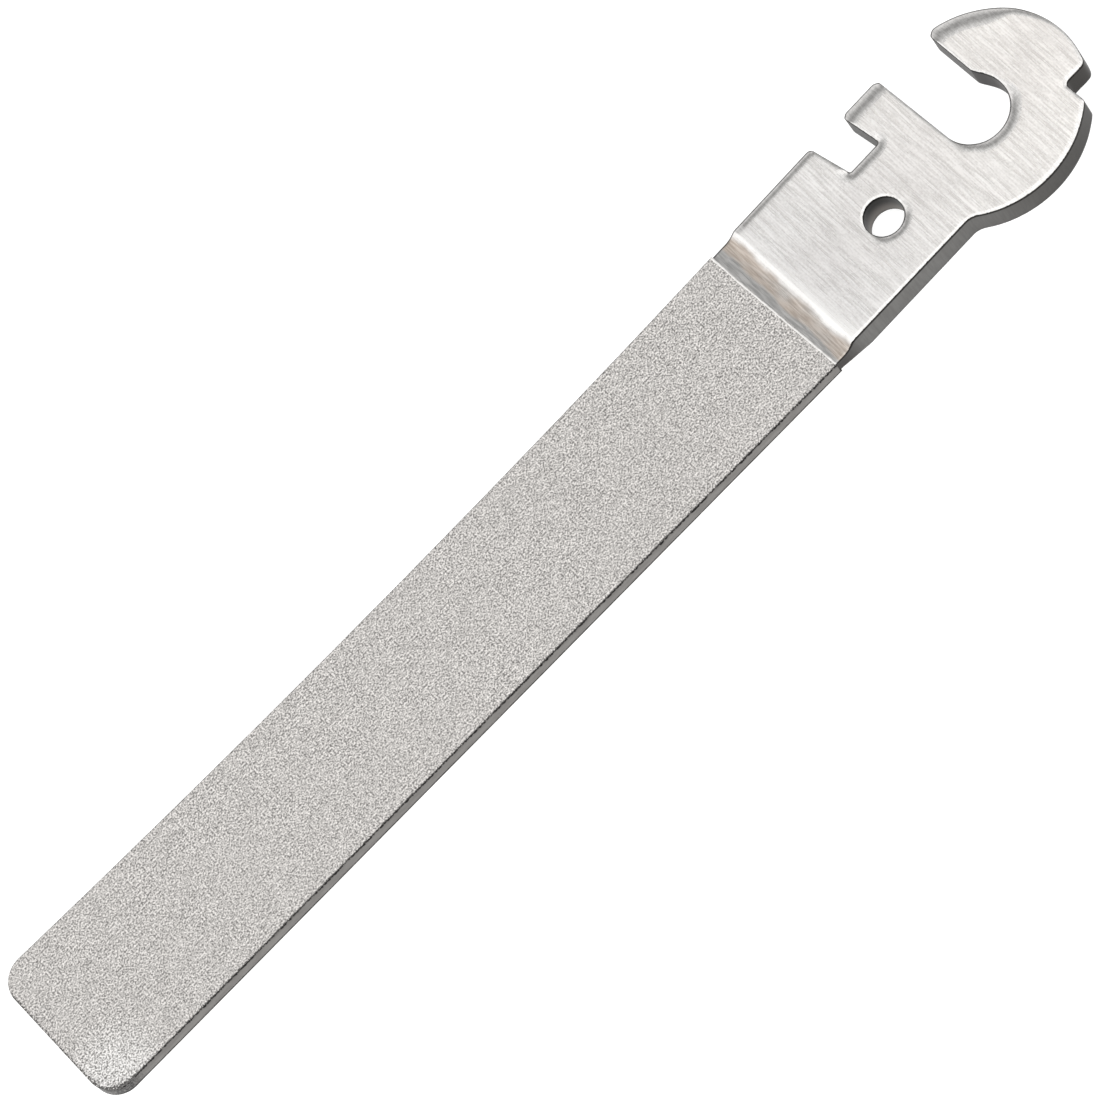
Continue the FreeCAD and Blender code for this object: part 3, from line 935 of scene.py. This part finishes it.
def bright_nickel():
    """The bead along the masked line, smoother and brighter than the band."""
    look = Look("bright_nickel")
    speck = look.noise((3.0, 3.0, 3.0), detail=2.0)
    colour = look.mix(look.between(speck, 0.3, 0.7), (0.80, 0.79, 0.78), (0.93, 0.92, 0.91))
    return look.finish(colour, 0.7, 0.3)


def satin_nickel():
    """The plain band, with a broken dark line of painted shade under the edge of the grit and a
    dark crust round the tip."""
    look = Look("satin_nickel")
    cloud = look.noise((0.8, 0.8, 2.0), detail=3.0)
    colour = look.mix(look.between(cloud, 0.3, 0.7), (0.165, 0.157, 0.149), (0.205, 0.197, 0.188))
    ragged = look.noise((5.0, 5.0, 1.0), detail=2.0, rough=0.6)
    # painted shade: a broken dark line under the grit's edge
    height = look.math("ADD", look.axis("Z"), look.between(ragged, 0.3, 0.7, -0.10, 0.11, smooth=False))
    colour = look.mix(look.between(height, 1.56, 1.66), colour, (0.008, 0.007, 0.007))
    grain = look.noise((7.0, 7.0, 7.0), detail=2.0)
    crust = look.mix(look.between(grain, 0.38, 0.62, smooth=False),
                     (0.007, 0.006, 0.006), (0.16, 0.156, 0.152))
    at_tip = look.math("ADD", look.axis("X"), look.between(ragged, 0.3, 0.7, -0.5, 0.5, smooth=False))
    crusted = look.between(at_tip, float(TIP) + 2.0, float(TIP) + 3.4, 1.0, 0.0)
    return look.finish(look.mix(crusted, colour, crust), 0.8, 0.42, look.bump(cloud, 0.01))


# ---- light, floor and camera ------------------------------------------------------------------

# The studio round the object. How bright it is by the angle from overhead, in degrees:
# towards the straight edge below zero, and towards the back edge above it.
STUDIO = [
    (-100, 0.22), (-66, 0.22), (-50, 1.30), (-8, 1.35), (14, 1.15), (28, 1.0), (38, 0.86),
    (49, 0.36), (57, 0.34), (68, 0.88), (100, 1.0),
]
BRIGHTEST = 2.0              # the studio's ramp of greys stands for levels up to this
TIP_SIDE = 1.2               # the panel beyond the tip
TIP_SIDE_EDGE = (-0.42, -0.18)        # where the panel fades out, along X


def make_world():
    """A soft studio: bright overhead, a darker belt above the horizon, a panel beyond the tip."""
    world = bpy.data.worlds.new("studio")
    bpy.context.scene.world = world
    world.use_nodes = True
    tree = world.node_tree
    background = tree.nodes["Background"]
    place = tree.nodes.new("ShaderNodeTexCoord")
    axes = tree.nodes.new("ShaderNodeSeparateXYZ")
    tree.links.new(place.outputs["Generated"], axes.inputs[0])

    def math_node(operation, first, second):
        node = tree.nodes.new("ShaderNodeMath")
        node.operation = operation
        for socket, value in zip(node.inputs, (first, second)):
            if isinstance(value, bpy.types.NodeSocket):
                tree.links.new(value, socket)
            else:
                socket.default_value = value
        return node.outputs[0]

    angle = math_node("ARCTAN2", axes.outputs["Y"], axes.outputs["Z"])
    share = math_node("ADD", math_node("MULTIPLY", angle, 0.5 / math.pi), 0.5)
    ramp = tree.nodes.new("ShaderNodeValToRGB")
    tree.links.new(share, ramp.inputs[0])
    stops = ramp.color_ramp.elements
    while len(stops) < len(STUDIO):
        stops.new(1.0)
    for stop, (degrees, level) in zip(stops, STUDIO):
        stop.position = degrees / 360 + 0.5
        stop.color = (level / BRIGHTEST,) * 3 + (1,)
    belt = math_node("MULTIPLY", ramp.outputs[0], BRIGHTEST)
    panel = tree.nodes.new("ShaderNodeMapRange")
    panel.interpolation_type = "SMOOTHSTEP"
    tree.links.new(axes.outputs["X"], panel.inputs["Value"])
    for socket, number in (("From Min", TIP_SIDE_EDGE[0]), ("From Max", TIP_SIDE_EDGE[1]),
                           ("To Min", TIP_SIDE), ("To Max", 0.0)):
        panel.inputs[socket].default_value = number
    bright = math_node("MAXIMUM", belt, panel.outputs["Result"])
    background.inputs["Color"].default_value = (1.0, 0.995, 0.985, 1)
    tree.links.new(bright, background.inputs["Strength"])


def make_softbox():
    """A large soft lamp overhead, a little to the straight edge's side. In metres and watts."""
    light = bpy.data.lights.new("overhead", "AREA")
    light.size = 0.7
    light.energy = 0.15
    lamp = bpy.data.objects.new("overhead", light)
    lamp.location = (0.0, -0.1, 0.8)
    lamp.rotation_euler = (-lamp.location).to_track_quat("-Z", "Y").to_euler()
    lamp.visible_camera = False
    bpy.context.scene.collection.objects.link(lamp)


FLOOR_HALF = 1500
FLOOR_GAP = 0.02             # below the object


def make_floor():
    look = Look("pale_floor")
    cloud = look.noise((0.02, 0.02, 0.02))
    shader = look.shader
    look.feed(shader.inputs["Base Color"], look.mix(cloud, (0.42, 0.42, 0.42), (0.46, 0.46, 0.46)))
    look.feed(shader.inputs["Roughness"], 0.9)
    shader.inputs["Emission Color"].default_value = (1, 1, 1, 1)
    shader.inputs["Emission Strength"].default_value = 0.85
    corners = [(x * FLOOR_HALF, y * FLOOR_HALF, -FLOOR_GAP)
               for x, y in ((-1, -1), (1, -1), (1, 1), (-1, 1))]
    floor = make_piece("floor", corners, [(0, 1, 2, 3)], [look.material])


CAMERA_TILT = math.radians(28.0)          # from overhead, towards the straight edge
CAMERA_LEAN = math.radians(0.838)         # towards the tip
CAMERA_TURN = math.radians(45.38)         # the blade runs up the picture's diagonal
CAMERA_LENS = 220.3
CAMERA_FROM_CORNER = (30.5877, 38.7813, 471.729)      # right, up and back, in its own axes
CORNER_INSET = 0.1005                     # the body's corner, measured in from the coated tip


def make_camera():
    """Looks down on the whole blade. Its place is measured from the body's corner at the tip,
    on the straight edge, half way up."""
    data = bpy.data.cameras.new("camera")
    data.lens = CAMERA_LENS
    data.sensor_width = 36.0
    data.clip_start = 0.01
    camera = bpy.data.objects.new("camera", data)
    turn = (Matrix.Rotation(CAMERA_TILT, 4, "X") @ Matrix.Rotation(-CAMERA_LEAN, 4, "Y")
            @ Matrix.Rotation(-CAMERA_TURN, 4, "Z"))
    corner = Vector((TIP + CORNER_INSET, GRIT_LOW[1], MIDDLE))
    place = corner + turn @ Vector(CAMERA_FROM_CORNER)
    camera.matrix_world = Matrix.Translation(place * MM) @ turn
    bpy.context.scene.collection.objects.link(camera)
    bpy.context.scene.camera = camera


# ---- build ------------------------------------------------------------------------------------

def clothe_cad(material):
    """Gives every CAD mesh a finished material."""
    for node in frame["nodes"].values():
        slots = node.data.materials
        for i in range(len(slots)):
            slots[i] = material
        if not slots:
            slots.append(material)


steel_face, steel_wall, steel_roll = ground_steel(), sheared_steel(), rolled_steel()
grit, bead_nickel, nickel = diamond_grit(), bright_nickel(), satin_nickel()
clothe_cad(steel_face)

steel = make_steel([steel_face, steel_wall, steel_roll])
front = make_grit("front_grit_coat", GRIT_LOW[2], GRIT_HIGH[2], [grit, nickel], 11)
back = make_grit("back_grit_coat", BACK_HIGH[2], BACK_LOW[2], [grit, nickel], 12)
band = make_band([nickel])
front_bead = make_bead("front_coat_bead", GRIT_HIGH[2], 1, [bead_nickel])
back_bead = make_bead("back_coat_bead", BACK_LOW[2], -1, [bead_nickel])

for piece, node, slot in ((steel, "blank", "bare_steel"), (front, "front_grit", "diamond_grit"),
                          (back, "back_grit", "diamond_grit"), (band, "edge_plating", "nickel_plating")):
    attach(piece, "root")
    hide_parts(node)

for bead in (front_bead, back_bead):
    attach(bead, "root")

make_floor()
make_world()
make_softbox()
make_camera()
bpy.context.scene.view_settings.view_transform = "Standard"
